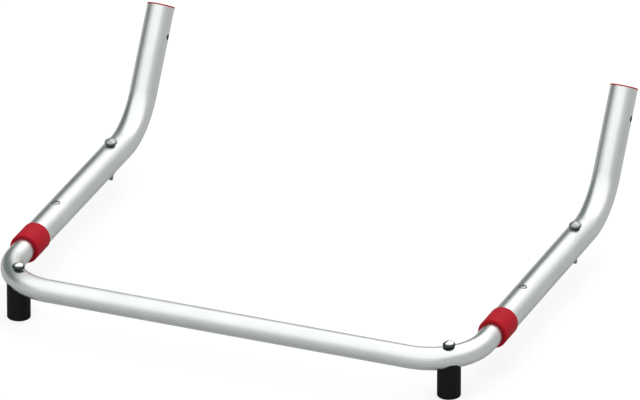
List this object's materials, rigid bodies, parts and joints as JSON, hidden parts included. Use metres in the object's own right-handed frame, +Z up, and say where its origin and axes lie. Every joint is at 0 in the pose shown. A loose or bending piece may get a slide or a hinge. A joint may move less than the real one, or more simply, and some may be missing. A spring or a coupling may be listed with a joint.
{
  "type": "telescopic support bar",
  "caption": "U-shaped aluminium tube bar on feet, sliding in two bent arms with collars, end plugs and cross holes for fastening to a frame.",
  "frame": {"origin": "on the floor under the middle of the whole frame: halfway between the arms in X, halfway from the cross tube's front to the end plugs' rear edge in Y, and level with the soles of the feet in Z", "axes": "+X along the cross tube to the right arm, +Y from the cross tube back along the arms, +Z up"},
  "size_m": [0.5686, 0.4906, 0.1697],
  "materials": {
    "anodised_bar": "satin anodised",
    "anodised_arm": "satin anodised",
    "red_plastic": "fine moulded texture",
    "black_rubber": "matte",
    "black_nylon": "matte",
    "polished_steel": "polished",
    "zinc_steel": "dull zinc plate",
    "rivet_aluminium": "satin",
    "dark_steel": "dull",
    "brass": "machined"
  },
  "bodies": {
    "left_arm": {"left_arm_tube": "anodised_arm", "left_collar": "red_plastic", "left_guide_sleeve": "black_nylon", "left_end_plug": "red_plastic", "left_rivet": "rivet_aluminium", "left_rivet_mandrel": "dark_steel", "left_arm_bolt": "zinc_steel", "left_arm_nut": "zinc_steel"},
    "u_bar": {"u_bar": "anodised_bar", "left_foot": "black_rubber", "right_foot": "black_rubber", "left_foot_insert": "brass", "right_foot_insert": "brass", "left_foot_screw": "polished_steel", "right_foot_screw": "polished_steel", "left_leg_glide": "black_nylon", "right_leg_glide": "black_nylon"},
    "right_arm": {"right_arm_tube": "anodised_arm", "right_collar": "red_plastic", "right_guide_sleeve": "black_nylon", "right_end_plug": "red_plastic", "right_rivet": "rivet_aluminium", "right_rivet_mandrel": "dark_steel", "right_arm_bolt": "zinc_steel", "right_arm_nut": "zinc_steel"}
  },
  "joints": [
    {"name": "bar_slide", "type": "slide", "parent": "left_arm", "child": "u_bar", "axis": [0, -1, 0], "range_m": [0, 0.12]},
    {"name": "right_arm_slide", "type": "slide", "parent": "u_bar", "child": "right_arm", "axis": [0, 1, 0], "range_m": [0, 0.12]}
  ],
  "couplings": [
    {"joint": "right_arm_slide", "follows": "bar_slide", "ratio": 1}
  ]
}
